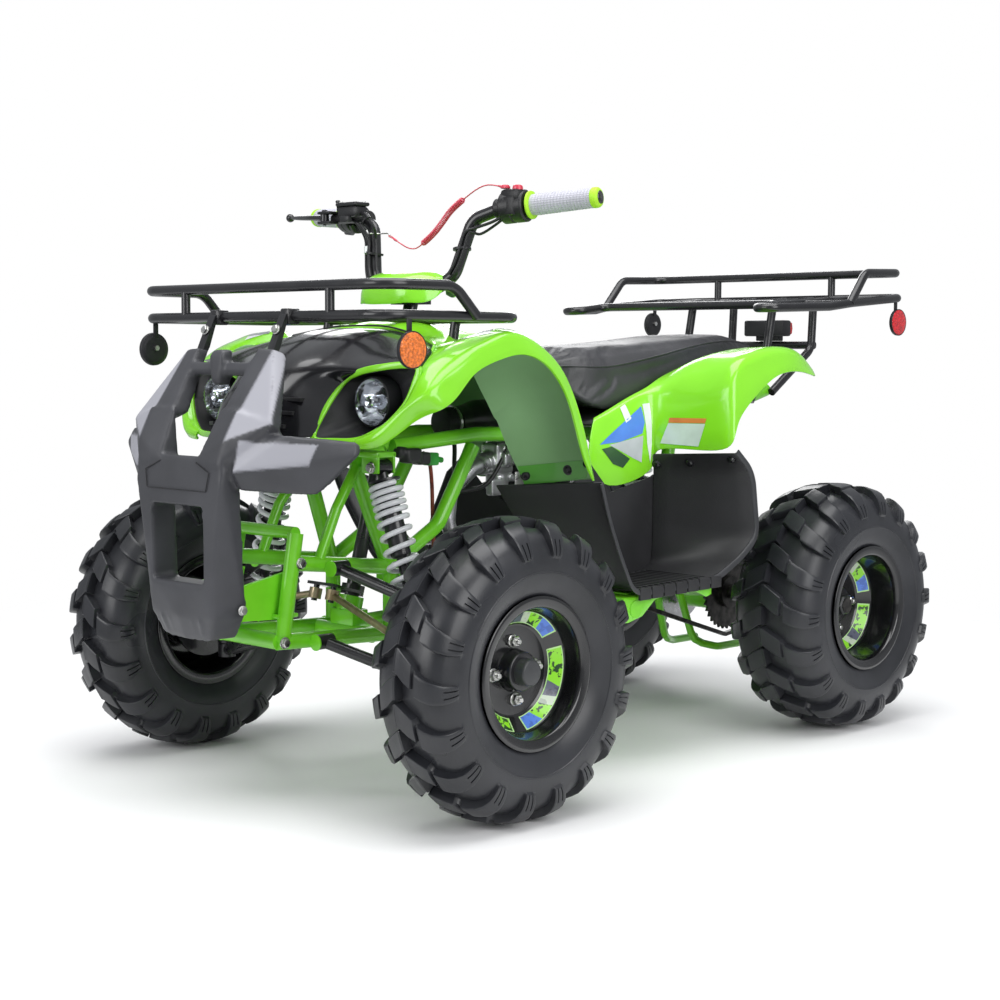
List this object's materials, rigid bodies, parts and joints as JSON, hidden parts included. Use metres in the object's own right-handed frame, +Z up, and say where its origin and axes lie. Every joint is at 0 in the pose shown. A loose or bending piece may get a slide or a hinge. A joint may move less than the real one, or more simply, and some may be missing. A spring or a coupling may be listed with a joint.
{
  "type": "quad bike",
  "caption": "Small four-wheeled quad bike with lugged tyres, coil-sprung front arms, racks front and rear, moulded fenders, saddle, bumper and handlebar steering.",
  "frame": {"origin": "on the floor under the middle of the vehicle's box, between the wheels", "axes": "+Z up, -Y towards the front, +X towards the rider's left"},
  "size_m": [0.984, 1.5754, 1.0123],
  "materials": {
    "tyre_rubber": "matte moulded rubber",
    "rim_black": "gloss black paint",
    "steel_dark": "satin black paint",
    "zinc": "zinc plated",
    "frame_green": "gloss powder coat",
    "body_green": "gloss moulded plastic",
    "body_black": "gloss moulded plastic",
    "bumper_grey": "grained moulded plastic",
    "footwell_black": "grained moulded plastic",
    "seat_vinyl": "grained vinyl",
    "spring_white": "gloss white coating",
    "engine_alloy": "cast, lightly blasted",
    "grip_grey": "moulded rubber",
    "controls_black": "moulded plastic",
    "lamp_lens": "clear faceted lens",
    "amber_lens": "ribbed reflector",
    "red_lens": "ribbed reflector",
    "exhaust_steel": "heat-stained steel",
    "cord_red": "coiled plastic cord"
  },
  "bodies": {
    "chassis": {"frame": "frame_green", "seat_rails": "frame_green", "swing_arm": "frame_green", "suspension_arms": "steel_dark", "front_dampers": "steel_dark", "front_springs": "spring_white", "rear_shock": "steel_dark", "front_bumper": "bumper_grey", "front_rack": "steel_dark", "rear_rack": "steel_dark", "front_body": "body_green", "front_cowl": "body_black", "rear_body": "body_green", "seat": "seat_vinyl", "headlamps": "lamp_lens", "engine": "engine_alloy", "intake": "engine_alloy", "exhaust": "exhaust_steel", "footwell_left": "footwell_black", "footwell_right": "footwell_black", "chain": "steel_dark", "reflectors_front": "amber_lens", "reflectors_rear": "red_lens", "tail_light": "red_lens"},
    "steering": {"steering_stem": "steel_dark", "handlebar": "steel_dark", "handlebar_cover": "body_green", "grips": "grip_grey", "bar_controls": "controls_black", "brake_lever": "controls_black", "tether_coil": "cord_red", "tether_loop": "cord_red", "tether_clip": "cord_red"},
    "tie_rod_left": {"tie_rod_left": "zinc"},
    "tie_rod_right": {"tie_rod_right": "zinc"},
    "knuckle_left": {"knuckle_left": "steel_dark"},
    "knuckle_right": {"knuckle_right": "steel_dark"},
    "wheel_front_left": {"tyre_front_left": "tyre_rubber", "rim_front_left": "rim_black", "hub_front_left": "steel_dark"},
    "wheel_front_right": {"tyre_front_right": "tyre_rubber", "rim_front_right": "rim_black", "hub_front_right": "steel_dark"},
    "rear_wheels": {"rear_axle": "steel_dark", "rear_sprocket": "steel_dark", "rear_brake_disc": "steel_dark", "tyre_rear_left": "tyre_rubber", "rim_rear_left": "rim_black", "tyre_rear_right": "tyre_rubber", "rim_rear_right": "rim_black"}
  },
  "joints": [
    {"name": "steer", "type": "hinge", "parent": "chassis", "child": "steering", "pos_m": [0, -0.421, 0.316], "axis": [0, 0.2656, 0.9641], "range_deg": [-38, 38]},
    {"name": "knuckle_left_turn", "type": "hinge", "parent": "chassis", "child": "knuckle_left", "pos_m": [0.305, -0.459, 0.2385], "axis": [0, 0, 1], "range_deg": [-26, 26]},
    {"name": "knuckle_right_turn", "type": "hinge", "parent": "chassis", "child": "knuckle_right", "pos_m": [-0.305, -0.459, 0.2385], "axis": [0, 0, 1], "range_deg": [-26, 26]},
    {"name": "tie_rod_left_swing", "type": "hinge", "parent": "steering", "child": "tie_rod_left", "pos_m": [0.022, -0.48077, 0.33246], "axis": [0, 0.2656, 0.9641], "range_deg": [-43, 43]},
    {"name": "tie_rod_right_swing", "type": "hinge", "parent": "steering", "child": "tie_rod_right", "pos_m": [-0.022, -0.48077, 0.33246], "axis": [0, 0.2656, 0.9641], "range_deg": [-43, 43]},
    {"name": "wheel_front_left_spin", "type": "hinge", "parent": "knuckle_left", "child": "wheel_front_left", "pos_m": [0.411, -0.459, 0.2385], "axis": [1, 0, 0], "continuous": true},
    {"name": "wheel_front_right_spin", "type": "hinge", "parent": "knuckle_right", "child": "wheel_front_right", "pos_m": [-0.411, -0.459, 0.2385], "axis": [1, 0, 0], "continuous": true},
    {"name": "rear_axle_spin", "type": "hinge", "parent": "chassis", "child": "rear_wheels", "pos_m": [0, 0.549, 0.2385], "axis": [1, 0, 0], "continuous": true}
  ],
  "couplings": [
    {"joint": "knuckle_left_turn", "follows": "steer", "ratio": 0.66},
    {"joint": "knuckle_right_turn", "follows": "steer", "ratio": 0.66},
    {"joint": "tie_rod_left_swing", "follows": "steer", "ratio": -1.11},
    {"joint": "tie_rod_right_swing", "follows": "steer", "ratio": -1.11}
  ]
}
